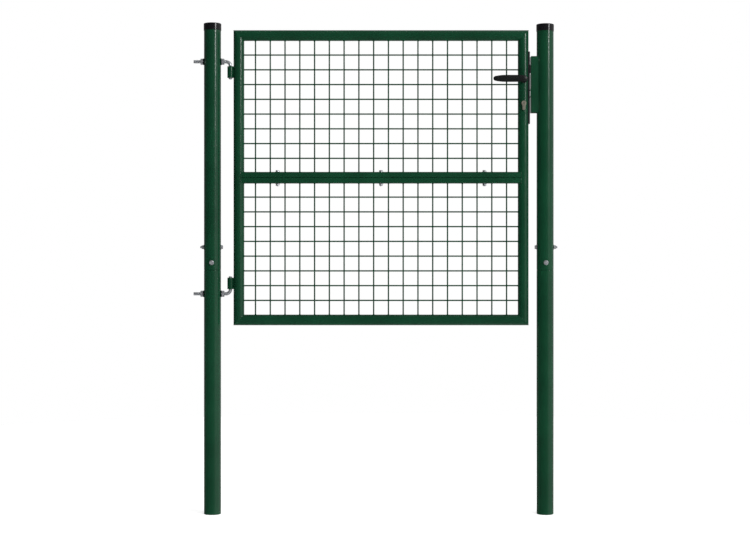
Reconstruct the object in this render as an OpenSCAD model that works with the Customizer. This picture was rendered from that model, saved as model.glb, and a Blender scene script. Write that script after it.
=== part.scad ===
// Single garden gate: two round steel posts, each in two bolted halves, and a square
// leaf of round tube with welded wire mesh, made as two half frames bolted together
// along their middle rails. It hangs on two threaded hook bolts and closes with a
// mortise lock. The origin is the centre of the hinge post's foot, +X runs across the
// gate to the latch post, +Y is the side the leaf opens to and +Z is up.

/* [Posts] */
// Outside diameter of both posts
post_d = 60; // [58:1:62]
// Wall of the post tube
post_wall = 2; // [1.5:0.5:3]
// Height of the hinge post with its cap on
post_h = 1746; // [1740:1:1800]
// How much shorter the latch post stands
latch_post_drop = 3; // [0:1:5]
// Height of the joint between the two halves of a post
seam_z = 868; // [860:1:872]
// Length of the reduced neck that enters the upper half
neck_len = 105; // [100:1:120]

/* [Leaf] */
// Outside width and height of the leaf
leaf_size = 1050; // [1040:2:1060]
// Height of the leaf's lower edge above the post's foot
leaf_z0 = 671; // [665:1:675]
// Outside diameter of the frame tube
tube_d = 38; // [38:1:40]
// Wall of the frame tube
tube_wall = 1.5; // [1:0.5:1.5]
// Height of each middle rail
rail_h = 20; // [18:1:22]
// Depth of each middle rail, front to back
rail_depth = 35; // [30:1:36]
// Wall of the middle rails
rail_wall = 2; // [1.5:0.5:2.5]
// Outer corner radius of the middle rails
rail_round = 3.5; // [2.5:0.5:4]

/* [Mesh] */
// Diameter of the mesh wire
wire_d = 5; // [4:0.5:5]
// Number of upright wires in each half
upright_count = 18; // [16:2:18]
// Distance between upright wires
upright_pitch = 52.6; // [50:0.2:53]
// Number of cross wires in each half
cross_count = 8; // [6:1:8]
// Distance between cross wires
cross_pitch = 52.5; // [50:0.5:53]
// Height of the first cross wire from the leaf's middle
first_cross = 69; // [60:1:72]

/* [Hinges] */
// Distance from the hinge post's axis to the hinge axis
hinge_reach = 64; // [64:1:70]
// Distance of each hook bolt from the leaf's upper or lower edge
hinge_inset = 112; // [100:1:120]
// Diameter of the hook bolts
hook_d = 12; // [12:1:12]
// Centreline radius of the bend in a hook bolt
hook_bend = 16; // [14:1:18]
// Outside diameter of the bushes on the leaf
bush_d = 22; // [18:1:22]
// Height of the bushes
bush_h = 41; // [36:1:44]

/* [Lock] */
// Height of the lever's axis above the leaf's middle
lever_rise = 348; // [340:1:350]
// Distance from the lever's axis down to the key cylinder's
key_drop = 85; // [85:1:86]
// Height of the forend
forend_h = 256; // [250:1:260]
// Width of the forend, front to back
forend_w = 22; // [20:1:24]
// How far the forend stands out from the stile
forend_proud = 4; // [3.5:0.5:4]
// How far the latch bolt stands out of the forend
latch_throw = 14; // [12:1:15]
// How far the deadbolt travels
dead_throw = 20; // [18:1:20]
// Length of the lever from its axis to its tip
lever_len = 110; // [100:1:115]
// Height of the lever's grip
lever_h = 25; // [22:1:26]
// Gap between the leaf and the latch post's surface
latch_gap = 29; // [29:1:32]
// Height of the keeper
keeper_h = 200; // [196:1:210]

/* [Hidden] */
$fn = 64;
eps = 0.01;
over = 1;                        // how far a cutting shape runs past what it cuts

post_r = post_d / 2;
neck_r = post_r - post_wall - 0.2;
neck_taper = 4;
cap_r = post_r + 1.2;
cap_h = 26;
cap_round = 5;
cap_dome = 2;
cap_top = 6;                     // from the post tube's end to the cap's crown
splice_x_z = seam_z + 81;        // height of the bolt that runs left to right
splice_y_z = seam_z + 25.5;      // height of the bolt that runs front to back

tube_r = tube_d / 2;
leaf_x0 = hinge_reach + bush_d / 2;
leaf_x1 = leaf_x0 + leaf_size;
mid_x = leaf_x0 + leaf_size / 2;
mid_z = leaf_z0 + leaf_size / 2;
half = leaf_size / 2;
hinge_stile_x = leaf_x0 + tube_r;
latch_stile_x = leaf_x1 - tube_r;
latch_post_x = leaf_x1 + latch_gap + post_r;
wire_r = wire_d / 2;
wire_y = wire_r - 0.1;           // crossing wires are welded, so they bite 0.2 into each other

m8_r = 4;
m8_hole_r = 4.2;
m8_af = 13;
m8_head = 5.3;
m8_nut = 6.5;
m8_washer_r = 8.5;
m8_washer_t = 1.6;
splice_bolt_len = 75;
rail_bolt_len = 2 * rail_h + 2 * m8_washer_t + m8_nut + 2;
rail_bolt_x = 7 * upright_pitch; // the outer bolts stand midway between two wires

m12_r = hook_d / 2;
m12_hole_r = m12_r + 0.2;
m12_af = 19;
m12_nut = 10;
m12_washer_r = 12;
m12_washer_t = 2.5;
hook_tail = 67;                  // the hook bolt's end beyond the post's axis
hook_past = 5;                   // the hook's tip beyond the bush
pin_clear = 0.05;
upper_hook_z = leaf_z0 + leaf_size - hinge_inset;
lower_hook_z = leaf_z0 + hinge_inset;
bush_gap = 0.5;                  // between the bend's end and the bush
bush_weld_w = 9;
bush_weld_h = bush_h - 6;

lock_x = latch_stile_x;          // the lever's and cylinder's axes
lever_z = mid_z + lever_rise;
key_z = lever_z - key_drop;
forend_z = lever_z - 28;
forend_x = leaf_x1 + forend_proud;
latch_z = lever_z + 38.5;
dead_z = lever_z - 47.5;
case_half_h = 113;
case_z = forend_z + 1;
case_x0 = lock_x - 15.5;
case_x1 = leaf_x1 + 0.5;
case_y = 7;
case_wall = 1.5;
bolt_half_t = 5;
latch_half_h = 15;
dead_half_h = 9;
latch_rear = lock_x - 1.1;
lug_x1 = lock_x + 2.4;
lug_z0 = lever_z + 15;
dead_rear = forend_x - dead_throw - 15;   // it still has a hold when it is thrown
spring_r = 2.5;
spring_wire = 0.8;
spring_bore_r = 3.3;
spring_x1 = case_x1 - case_wall;
spring_turns = 6;

spindle_w = 8;
socket_w = 8.1;
hub_r = 9;
journal_r = 7;
arm_r = 17.5;
arm_w = 5;
arm_lean = 20;

rose_r = 13;
rose_y = tube_r + 7;
neck_lever_r = 9;
lever_y = tube_r + 27;
lever_t = 13;
hub_lever_r = 11.5;
tip_r = 6.5;
grip_end = lever_len - 22;
set_screw_y = rose_y + 8;
knob_r = 14;                     // narrower than the stile that it stands behind
knob_y = tube_r + 18.5;

cyl_r = 8.5;
cyl_web = 10;
cyl_drop = 24.5;                 // from the cylinder's axis down to its lower edge
cyl_half_l = 30;
plug_r = 6.5;
plug_proud = 1;
cam_half_t = 4.8;
cam_r = 8.4;
cam_tip = 13;
cam_w = 7;
cam_slot = 16;
cyl_screw_z = key_z - 20;
screw_r = 2.5;
screw_head_r = 4.6;
screw_head_h = 2.4;
forend_screw_z = [forend_z - forend_h / 2 + 8, forend_z + forend_h / 2 - 8];

keeper_x = forend_x + 3.4;
keeper_t = 3;
keeper_y = 17;
keeper_z = lever_z - 17;
strike_t = 2.1;
strike_half_h = 13.5;
bolt_gap = 1.5;                  // round each bolt in the keeper
keeper_front = -7.5;             // the bolts' slots are open from here to the back

// ---- shapes that repeat ----

// Turns a shape drawn along +Z so that it runs along +X
module along_x() { rotate([0, 90, 0]) children(); }

// Turns a shape drawn along +Z so that it runs along +Y
module along_y() { rotate([-90, 0, 0]) children(); }

// Turns a flat shape in X and Y upright into X and Z, centred front to back
module upright_plate(depth) {
    rotate([90, 0, 0]) linear_extrude(depth, center = true) children();
}

module tube(r, wall, h) {
    difference() {
        cylinder(r = r, h = h);
        translate([0, 0, -over]) cylinder(r = r - wall, h = h + 2 * over);
    }
}

module hexagon(af, h) { cylinder(d = af / cos(30), h = h, $fn = 6); }

module hex_nut(af, h, bore_r) {
    difference() {
        hexagon(af, h);
        translate([0, 0, -over]) cylinder(r = bore_r, h = h + 2 * over);
    }
}

// A bolt along +Z whose head lies below z = 0
module hex_bolt(r, af, head, len) {
    translate([0, 0, -head]) hexagon(af, head);
    translate([0, 0, -eps]) cylinder(r = r, h = len + eps);
}

// A countersunk screw along +X whose head ends at x = 0
module countersunk(len) {
    translate([-len, 0, 0]) along_x() cylinder(r = screw_r, h = len);
    translate([-screw_head_h, 0, 0]) along_x()
        cylinder(r1 = screw_r, r2 = screw_head_r, h = screw_head_h);
}

// A box between two opposite corners
module block(low, high) { translate(low) cube(high - low); }

// ---- posts ----

module splice_holes() {
    translate([-post_d, 0, splice_x_z]) along_x() cylinder(r = m8_hole_r, h = 2 * post_d);
    translate([0, -post_d, splice_y_z]) along_y() cylinder(r = m8_hole_r, h = 2 * post_d);
}

module hook_hole(z) {
    translate([-post_d, 0, z]) along_x() cylinder(r = m12_hole_r, h = 2 * post_d);
}

module post_lower() {
    difference() {
        rotate_extrude() polygon([
            [post_r, 0], [post_r, seam_z - neck_taper], [neck_r, seam_z],
            [neck_r, seam_z + neck_len], [neck_r - post_wall, seam_z + neck_len],
            [neck_r - post_wall, seam_z], [post_r - post_wall, seam_z - neck_taper],
            [post_r - post_wall, 0]
        ]);
        splice_holes();
    }
}

module post_upper(top) {
    difference() {
        translate([0, 0, seam_z]) tube(post_r, post_wall, top - cap_top - seam_z);
        splice_holes();
    }
}

module post_cap(top) {
    dome_r = (pow(cap_r - cap_round, 2) + pow(cap_dome, 2)) / (2 * cap_dome);
    edge_z = cap_h - cap_round - cap_dome;
    color("black") translate([0, 0, top - cap_h]) difference() {
        rotate_extrude($fn = 96) intersection() {
            union() {
                square([cap_r, edge_z]);
                square([cap_r - cap_round, cap_h]);
                translate([cap_r - cap_round, edge_z]) circle(cap_round);
            }
            translate([0, cap_h - dome_r]) circle(dome_r, $fn = 360);
        }
        translate([0, 0, -over]) cylinder(r = post_r + 0.1, h = cap_h - cap_top + over);
    }
}

module hinge_post_lower() {
    color("darkgreen") difference() { post_lower(); hook_hole(lower_hook_z); }
}

module hinge_post_upper() {
    color("darkgreen") difference() { post_upper(post_h); hook_hole(upper_hook_z); }
}

module hinge_post_cap() { post_cap(post_h); }

module latch_post_lower() {
    color("darkgreen") translate([latch_post_x, 0, 0]) post_lower();
}

module latch_post_upper() {
    color("darkgreen") translate([latch_post_x, 0, 0]) post_upper(post_h - latch_post_drop);
}

module latch_post_cap() { translate([latch_post_x, 0, 0]) post_cap(post_h - latch_post_drop); }

// Puts a fastener drawn along +Z, with z = 0 at the post's axis, on all four splice bolts:
// the cross bolts' heads face the leaf and the other bolts' heads face the front
module on_splices() {
    for (side = [0, 1]) translate([side * latch_post_x, 0, 0]) mirror([side, 0, 0]) {
        translate([0, 0, splice_x_z]) rotate([0, -90, 0]) children();
        translate([0, 0, splice_y_z]) along_y() children();
    }
}

module splice_bolts() {
    color("silver") on_splices() translate([0, 0, -post_r - m8_washer_t])
        hex_bolt(m8_r, m8_af, m8_head, splice_bolt_len);
}

module splice_washers() {
    color("silver") on_splices() for (z = [-post_r - m8_washer_t, post_r])
        translate([0, 0, z]) tube(m8_washer_r, m8_washer_r - m8_hole_r, m8_washer_t);
}

module splice_nuts() {
    color("silver") on_splices() translate([0, 0, post_r + m8_washer_t])
        hex_nut(m8_af, m8_nut, m8_r);
}

// ---- hinges ----

// A hook bolt along X at z = 0 whose hook points down
module hinge_hook() {
    run = hinge_reach - hook_bend;
    leg = bush_gap + bush_h + hook_past;
    color("silver") {
        translate([-hook_tail, 0, 0]) along_x() cylinder(r = m12_r, h = hook_tail + run);
        translate([run, 0, -hook_bend]) rotate([90, 0, 0])
            rotate_extrude(angle = 90) translate([hook_bend, 0]) circle(m12_r);
        translate([hinge_reach, 0, -hook_bend - leg]) cylinder(r = m12_r, h = leg);
    }
}

module upper_hinge_hook() { translate([0, 0, upper_hook_z]) hinge_hook(); }

module lower_hinge_hook() { translate([0, 0, lower_hook_z]) mirror([0, 0, 1]) hinge_hook(); }

module on_hooks(x) {
    for (z = [lower_hook_z, upper_hook_z]) translate([x, 0, z]) along_x() children();
}

module hinge_washers() {
    color("dimgray") for (x = [-post_r - m12_washer_t, post_r])
        on_hooks(x) tube(m12_washer_r, m12_washer_r - m12_hole_r, m12_washer_t);
}

module hinge_nuts() {
    color("silver") for (x = [-post_r - m12_washer_t - m12_nut, post_r + m12_washer_t])
        on_hooks(x) hex_nut(m12_af, m12_nut, m12_r);
}

// A bush from z = 0 up, with the weld that holds it to the stile
module hinge_bush() {
    color("darkgreen") translate([hinge_reach, 0, 0]) difference() {
        union() {
            cylinder(d = bush_d, h = bush_h);
            block([0, -bush_weld_w / 2, (bush_h - bush_weld_h) / 2],
                  [bush_d, bush_weld_w / 2, (bush_h + bush_weld_h) / 2]);
        }
        translate([bush_d / 2 + tube_r, 0, -over]) cylinder(r = tube_r, h = bush_h + 2 * over);
        translate([0, 0, -over]) cylinder(r = m12_r + pin_clear, h = bush_h + 2 * over);
    }
}

module upper_hinge_bush() {
    translate([0, 0, upper_hook_z - hook_bend - bush_gap - bush_h]) hinge_bush();
}

module lower_hinge_bush() { translate([0, 0, lower_hook_z + hook_bend + bush_gap]) hinge_bush(); }

// ---- leaf frame, each half drawn up from the leaf's middle at z = 0 ----

module upper_half() { translate([0, 0, mid_z]) children(); }

module lower_half() { translate([0, 0, mid_z]) mirror([0, 0, 1]) children(); }

module half_rail() {
    color("darkgreen") intersection() {
        translate([leaf_x0, 0, half - tube_r]) along_x() tube(tube_r, tube_wall, leaf_size);
        upright_plate(2 * tube_d) polygon([
            [leaf_x0, half], [leaf_x1, half],
            [leaf_x1 - tube_d, half - tube_d], [leaf_x0 + tube_d, half - tube_d]
        ]);
    }
}

module half_stile(x) {
    color("darkgreen") intersection() {
        translate([x, 0, 0]) tube(tube_r, tube_wall, half);
        upright_plate(2 * tube_d) polygon([
            [leaf_x0, 0], [leaf_x0, half], [leaf_x0 + tube_d, half - tube_d],
            [leaf_x1 - tube_d, half - tube_d], [leaf_x1, half], [leaf_x1, 0]
        ]);
    }
}

module stile_cutters() {
    for (x = [hinge_stile_x, latch_stile_x])
        translate([x, 0, -over]) cylinder(r = tube_r, h = half + over);
}

module rounded_bar(w, d, r) {
    square([w - 2 * r, d], center = true);
    square([w, d - 2 * r], center = true);
    for (x = [-1, 1], y = [-1, 1]) translate([x * (w / 2 - r), y * (d / 2 - r)]) circle(r);
}

module on_rail_bolts() {
    for (x = [-rail_bolt_x, 0, rail_bolt_x]) translate([mid_x + x, 0, 0]) children();
}

module half_middle_rail() {
    color("darkgreen") difference() {
        translate([hinge_stile_x, 0, rail_h / 2]) along_x()
            linear_extrude(latch_stile_x - hinge_stile_x) difference() {
                rounded_bar(rail_h, rail_depth, rail_round);
                rounded_bar(rail_h - 2 * rail_wall, rail_depth - 2 * rail_wall,
                            rail_round - rail_wall);
            }
        stile_cutters();
        on_rail_bolts() translate([0, 0, -over]) cylinder(r = m8_hole_r, h = rail_h + 2 * over);
    }
}

module half_uprights() {
    span = (upright_count - 1) * upright_pitch;
    color("darkgreen") difference() {
        for (i = [0 : upright_count - 1])
            translate([mid_x - span / 2 + i * upright_pitch, wire_y, rail_h])
                cylinder(r = wire_r, h = half - tube_r - rail_h, $fn = 24);
        translate([leaf_x0, 0, half - tube_r]) along_x() cylinder(r = tube_r, h = leaf_size);
    }
}

module half_crosswires() {
    color("darkgreen") difference() {
        for (i = [0 : cross_count - 1])
            translate([hinge_stile_x, -wire_y, first_cross + i * cross_pitch]) along_x()
                cylinder(r = wire_r, h = latch_stile_x - hinge_stile_x, $fn = 24);
        stile_cutters();
    }
}

module top_rail() { upper_half() half_rail(); }
module bottom_rail() { lower_half() half_rail(); }
module upper_hinge_stile() { upper_half() half_stile(hinge_stile_x); }
module lower_hinge_stile() { lower_half() half_stile(hinge_stile_x); }
module lower_latch_stile() { lower_half() half_stile(latch_stile_x); }
module upper_middle_rail() { upper_half() half_middle_rail(); }
module lower_middle_rail() { lower_half() half_middle_rail(); }
module upper_mesh_uprights() { upper_half() half_uprights(); }
module lower_mesh_uprights() { lower_half() half_uprights(); }
module upper_mesh_crosswires() { upper_half() half_crosswires(); }
module lower_mesh_crosswires() { lower_half() half_crosswires(); }

// The latch stile is cut for the lock case, the lever, the key cylinder and the screws
module upper_latch_stile() {
    color("darkgreen") difference() {
        upper_half() half_stile(latch_stile_x);
        block([lock_x, -case_y - 0.3, case_z - case_half_h - 0.5],
              [leaf_x1 + over, case_y + 0.3, case_z + case_half_h + 0.5]);
        translate([lock_x, -tube_d, lever_z]) along_y() cylinder(r = journal_r, h = 2 * tube_d);
        translate([lock_x, 0, key_z]) upright_plate(2 * tube_d) cylinder_outline(0.4);
        for (z = forend_screw_z)
            translate([lock_x, 0, z]) along_x() cylinder(r = screw_r, h = tube_d);
    }
}

// Puts a fastener drawn along +Z, with z = 0 at the leaf's middle, on the three rail bolts
module on_middle() { upper_half() on_rail_bolts() children(); }

module middle_bolts() {
    color("silver") on_middle() mirror([0, 0, 1]) translate([0, 0, -rail_h - m8_washer_t])
        hex_bolt(m8_r, m8_af, m8_head, rail_bolt_len);
}

module middle_washers() {
    color("silver") on_middle() for (z = [-rail_h - m8_washer_t, rail_h])
        translate([0, 0, z]) tube(m8_washer_r, m8_washer_r - m8_hole_r, m8_washer_t);
}

module middle_nuts() {
    color("silver") on_middle() translate([0, 0, -rail_h - m8_washer_t - m8_nut])
        hex_nut(m8_af, m8_nut, m8_r);
}

// ---- lock ----

// The key cylinder's outline about its axis, grown by a clearance
module cylinder_outline(gap) {
    web_r = cyl_web / 2 + gap;
    circle(cyl_r + gap);
    translate([-web_r, -cyl_drop + cyl_web / 2]) square([2 * web_r, cyl_drop - cyl_web / 2]);
    translate([0, -cyl_drop + cyl_web / 2]) circle(web_r);
}

// What passes through both side walls of the lock case
module case_holes() {
    translate([lock_x, -tube_d, lever_z]) along_y()
        cylinder(r = journal_r + pin_clear, h = 2 * tube_d);
    translate([lock_x, 0, key_z]) upright_plate(2 * tube_d) cylinder_outline(0.3);
}

module bolt_windows(gap, x0) {
    block([x0, -bolt_half_t - gap, latch_z - latch_half_h - gap],
          [forend_x + over, bolt_half_t + gap, latch_z + latch_half_h + gap]);
    block([x0, -bolt_half_t - gap, dead_z - dead_half_h - gap],
          [forend_x + over, bolt_half_t + gap, dead_z + dead_half_h + gap]);
}

module cylinder_screw_hole() {
    translate([lock_x, 0, cyl_screw_z]) along_x() cylinder(r = screw_r, h = tube_d);
}

module lock_case() {
    inner = case_y - case_wall;
    color("silver") difference() {
        block([case_x0, -inner, case_z - case_half_h], [case_x1, case_y, case_z + case_half_h]);
        block([case_x0 + case_wall, -inner - over, case_z - case_half_h + case_wall],
              [case_x1 - case_wall, inner, case_z + case_half_h - case_wall]);
        case_holes();
        bolt_windows(0.4, case_x1 - case_wall - eps);
        cylinder_screw_hole();
    }
}

module lock_case_cover() {
    color("silver") difference() {
        block([case_x0, -case_y, case_z - case_half_h],
              [case_x1, -case_y + case_wall, case_z + case_half_h]);
        case_holes();
    }
}

module lock_forend() {
    color("black") difference() {
        block([leaf_x1 - 3.5, -forend_w / 2, forend_z - forend_h / 2],
              [forend_x, forend_w / 2, forend_z + forend_h / 2]);
        translate([lock_x, 0, forend_z - forend_h]) cylinder(r = tube_r, h = 2 * forend_h);
        block([lock_x, -case_y, case_z - case_half_h], [case_x1, case_y, case_z + case_half_h]);
        bolt_windows(0.4, lock_x);
        for (z = concat(forend_screw_z, cyl_screw_z))
            translate([forend_x, 0, z]) countersunk(tube_d);
    }
}

module forend_screws() {
    color("silver") for (z = forend_screw_z) translate([forend_x, 0, z]) countersunk(16);
}

module cylinder_screw() {
    color("silver") translate([forend_x, 0, cyl_screw_z]) countersunk(forend_x - lock_x + 4);
}

module lever_rose() {
    difference() {
        translate([0, -rose_y, 0]) along_y() cylinder(r = rose_r, h = rose_y - tube_r + 7);
        translate([0, 0, -2 * rose_r]) cylinder(r = tube_r, h = 4 * rose_r);
        translate([0, -tube_d, 0]) along_y() cylinder(r = neck_lever_r + pin_clear, h = tube_d);
    }
}

module on_lever_axis() { translate([lock_x, 0, lever_z]) children(); }

module lever_roses() {
    color("black") on_lever_axis() for (side = [0, 1]) mirror([0, side, 0]) lever_rose();
}

// A disc of the lever's grip, x along the grip from the lever's axis
module grip_disc(x, r) {
    translate([-x, -lever_y - lever_t / 2, 0]) along_y() cylinder(r = r, h = lever_t, $fn = 32);
}

// The lever on the front, with its neck running back to the stile
module lever() {
    color("black") difference() {
        union() {
            hull() { grip_disc(0, hub_lever_r); grip_disc(30, lever_h / 2); }
            hull() { grip_disc(30, lever_h / 2); grip_disc(grip_end, lever_h / 2); }
            hull() { grip_disc(grip_end, lever_h / 2); grip_disc(lever_len - tip_r, tip_r); }
            translate([0, -lever_y, 0]) along_y()
                cylinder(r = neck_lever_r, h = lever_y - tube_r - 0.5);
        }
        block([-socket_w / 2, -lever_y, -socket_w / 2], [socket_w / 2, 0, socket_w / 2]);
        translate([0, -set_screw_y, -hub_lever_r]) cylinder(r = screw_r, h = hub_lever_r);
    }
}

module front_lever() { on_lever_axis() lever(); }

// The turning knob on the back, on the same spindle as the lever
module back_knob() {
    face = lever_y + lever_t / 2;
    color("black") on_lever_axis() difference() {
        along_y() rotate_extrude() polygon([
            [0, tube_r + 0.5], [neck_lever_r, tube_r + 0.5], [neck_lever_r, knob_y],
            [knob_r - 1.5, knob_y + 1.5], [knob_r, knob_y + 4], [knob_r, face - 5],
            [knob_r - 1.2, face - 2.2], [knob_r - 4, face], [0, face]]);
        block([-socket_w / 2, 0, -socket_w / 2], [socket_w / 2, lever_y, socket_w / 2]);
        translate([0, set_screw_y, -hub_lever_r]) cylinder(r = screw_r, h = hub_lever_r);
    }
}

module lever_spindle() {
    color("silver") on_lever_axis()
        cube([spindle_w, 2 * lever_y - 1, spindle_w], center = true);
}

module lever_set_screws() {
    color("silver") on_lever_axis() for (y = [-set_screw_y, set_screw_y])
        translate([0, y, -neck_lever_r + 0.5])
            cylinder(r = screw_r, h = neck_lever_r - 0.5 - socket_w / 2);
}

module lock_follower() {
    inner = case_y - case_wall - 0.3;
    color("silver") on_lever_axis() difference() {
        union() {
            translate([0, -inner, 0]) along_y() cylinder(r = hub_r, h = 2 * inner);
            translate([0, -case_y, 0]) along_y() cylinder(r = journal_r, h = 2 * case_y);
            rotate([0, arm_lean, 0]) block([-arm_w / 2, -4, 0], [arm_w / 2, 4, arm_r]);
        }
        cube([socket_w, 3 * case_y, socket_w], center = true);
    }
}

// The latch bolt: its nose is bevelled on the front and its lug hangs over the follower
module latch_bolt() {
    nose = forend_x + latch_throw;
    color("silver") difference() {
        union() {
            block([latch_rear, -bolt_half_t, latch_z - latch_half_h],
                  [nose, bolt_half_t, latch_z + latch_half_h]);
            block([latch_rear, -4, lug_z0], [lug_x1, 4, latch_z - latch_half_h + eps]);
        }
        translate([latch_rear - over, 0, latch_z]) along_x()
            cylinder(r = spring_bore_r, h = spring_x1 - latch_rear + over);
        translate([0, 0, latch_z - latch_half_h - over]) linear_extrude(2 * latch_half_h + 2 * over)
            polygon([[nose - 9, -bolt_half_t - over], [nose - 9, -bolt_half_t],
                     [nose + over, bolt_half_t - 1], [nose + over, -bolt_half_t - over]]);
    }
}

module deadbolt() {
    color("silver") block([dead_rear, -bolt_half_t, dead_z - dead_half_h],
                          [forend_x - 0.5, bolt_half_t, dead_z + dead_half_h]);
}

// A point of ring i on a coil along +X, at angle a round the wire
function coil_point(i, a, steps, len, r, w) =
    let (t = i / steps, turn = 360 * spring_turns * t, rr = r + w * cos(a))
    [w + t * (len - 2 * w) + w * sin(a), rr * cos(turn), rr * sin(turn)];

module coil(len, r, w) {
    sides = 6;
    steps = 12 * spring_turns;
    points = [for (i = [0 : steps], s = [0 : sides - 1])
        coil_point(i, 360 * s / sides, steps, len, r, w)];
    walls = [for (i = [0 : steps - 1], s = [0 : sides - 1])
        let (n = (s + 1) % sides, low = i * sides, high = low + sides)
        each [[low + s, low + n, high + n], [low + s, high + n, high + s]]];
    ends = [[for (s = [sides - 1 : -1 : 0]) s], [for (s = [0 : sides - 1]) steps * sides + s]];
    polyhedron(points, concat(walls, ends), convexity = 8);
}

module latch_spring() {
    color("silver") translate([case_x0 + case_wall, 0, latch_z])
        coil(spring_x1 - case_x0 - case_wall, spring_r, spring_wire / 2);
}

// ---- key cylinder ----

module on_key_axis() { translate([lock_x, 0, key_z]) children(); }

module cylinder_housing() {
    color("goldenrod") on_key_axis() difference() {
        upright_plate(2 * cyl_half_l) cylinder_outline(0);
        block([-cyl_r - over, -cam_half_t - 0.3, -cam_slot],
              [cyl_r + over, cam_half_t + 0.3, cyl_r + over]);
        translate([0, -cyl_half_l - over, 0]) along_y()
            cylinder(r = plug_r + pin_clear, h = 2 * cyl_half_l + 2 * over);
        translate([-cyl_r, 0, cyl_screw_z - key_z]) along_x() cylinder(r = screw_r, h = 2 * cyl_r);
    }
}

module cylinder_plug() {
    outer = cyl_half_l + plug_proud;
    difference() {
        translate([0, -outer, 0]) along_y() cylinder(r = plug_r, h = outer - cam_half_t);
        block([-1, -outer - over, -5], [1, -outer + 20, 3]);
    }
}

module front_cylinder_plug() { color("goldenrod") on_key_axis() cylinder_plug(); }

module back_cylinder_plug() { color("goldenrod") on_key_axis() mirror([0, 1, 0]) cylinder_plug(); }

module cylinder_cam() {
    color("silver") on_key_axis() {
        translate([0, -cam_half_t, 0]) along_y() cylinder(r = cam_r, h = 2 * cam_half_t);
        block([-cam_w / 2, -cam_half_t, -cam_tip], [cam_w / 2, cam_half_t, 0]);
    }
}

// ---- keeper ----

// The bolts' slots in the keeper, open to the back so that the leaf can swing away
module keeper_slots() {
    for (slot = [[latch_z, latch_half_h], [dead_z, dead_half_h]])
        block([forend_x, keeper_front, slot[0] - slot[1] - bolt_gap],
              [latch_post_x, keeper_y + over, slot[0] + slot[1] + bolt_gap]);
}

module keeper_channel() {
    low = keeper_z - keeper_h / 2;
    color("darkgreen") difference() {
        block([keeper_x, -keeper_y, low], [latch_post_x, keeper_y, low + keeper_h]);
        block([keeper_x + keeper_t, -keeper_y + keeper_t, low - over],
              [latch_post_x + over, keeper_y - keeper_t, low + keeper_h + over]);
        translate([latch_post_x, 0, low - over]) cylinder(r = post_r, h = keeper_h + 2 * over);
        keeper_slots();
    }
}

module keeper_strike_plate() {
    color("darkgreen") difference() {
        block([keeper_x - strike_t, -keeper_y, dead_z - strike_half_h],
              [keeper_x, keeper_y, dead_z + strike_half_h]);
        keeper_slots();
    }
}

hinge_post_lower();
hinge_post_upper();
hinge_post_cap();
latch_post_lower();
latch_post_upper();
latch_post_cap();
splice_bolts();
splice_washers();
splice_nuts();
upper_hinge_hook();
lower_hinge_hook();
hinge_washers();
hinge_nuts();
keeper_channel();
keeper_strike_plate();
top_rail();
bottom_rail();
upper_hinge_stile();
lower_hinge_stile();
upper_latch_stile();
lower_latch_stile();
upper_middle_rail();
lower_middle_rail();
upper_mesh_uprights();
upper_mesh_crosswires();
lower_mesh_uprights();
lower_mesh_crosswires();
middle_bolts();
middle_washers();
middle_nuts();
upper_hinge_bush();
lower_hinge_bush();
lock_case();
lock_case_cover();
lock_forend();
forend_screws();
lever_roses();
cylinder_housing();
cylinder_screw();
latch_spring();
front_lever();
back_knob();
lever_spindle();
lock_follower();
lever_set_screws();
latch_bolt();
deadbolt();
front_cylinder_plug();
back_cylinder_plug();
cylinder_cam();
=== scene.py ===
"""Single mesh gate: two round posts, a leaf of round tube and welded wire mesh, and its lock.

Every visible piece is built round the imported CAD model, on the places that the model gives, and
every surface gets a procedural finish. Sizes are in metres.
"""

import logging
import math
from dataclasses import dataclass
from enum import Enum
from typing import Callable

import bmesh
import bpy
from bmesh.types import BMEdge, BMVert
from bpy.types import Material
from bpy.types import NodeSocket as Socket
from mathutils import Matrix, Vector


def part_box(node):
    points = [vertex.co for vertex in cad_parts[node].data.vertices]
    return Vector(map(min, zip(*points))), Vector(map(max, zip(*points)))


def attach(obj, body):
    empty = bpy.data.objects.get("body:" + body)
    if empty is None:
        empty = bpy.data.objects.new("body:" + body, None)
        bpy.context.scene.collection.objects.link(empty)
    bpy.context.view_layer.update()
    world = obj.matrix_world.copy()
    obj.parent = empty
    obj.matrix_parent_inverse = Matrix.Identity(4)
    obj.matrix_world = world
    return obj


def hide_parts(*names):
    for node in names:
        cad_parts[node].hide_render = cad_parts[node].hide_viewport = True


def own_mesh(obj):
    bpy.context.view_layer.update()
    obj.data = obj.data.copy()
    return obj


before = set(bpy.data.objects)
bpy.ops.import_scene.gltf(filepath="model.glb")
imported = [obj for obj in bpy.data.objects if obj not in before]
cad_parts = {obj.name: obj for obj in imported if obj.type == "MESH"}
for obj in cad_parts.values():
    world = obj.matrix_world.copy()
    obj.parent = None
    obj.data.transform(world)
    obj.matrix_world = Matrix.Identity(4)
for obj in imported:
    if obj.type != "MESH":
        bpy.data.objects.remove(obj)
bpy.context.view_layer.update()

MM = 0.001
FULL_TURN = 2 * math.pi
SAME_POINT = 2e-6

log = logging.getLogger("gate")

Box = tuple[Vector, Vector]
Triple = tuple[float, float, float]
Colour = Triple
Pairs = tuple[tuple[float, float], ...]


# ---- places, taken from the CAD model ----


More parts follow.
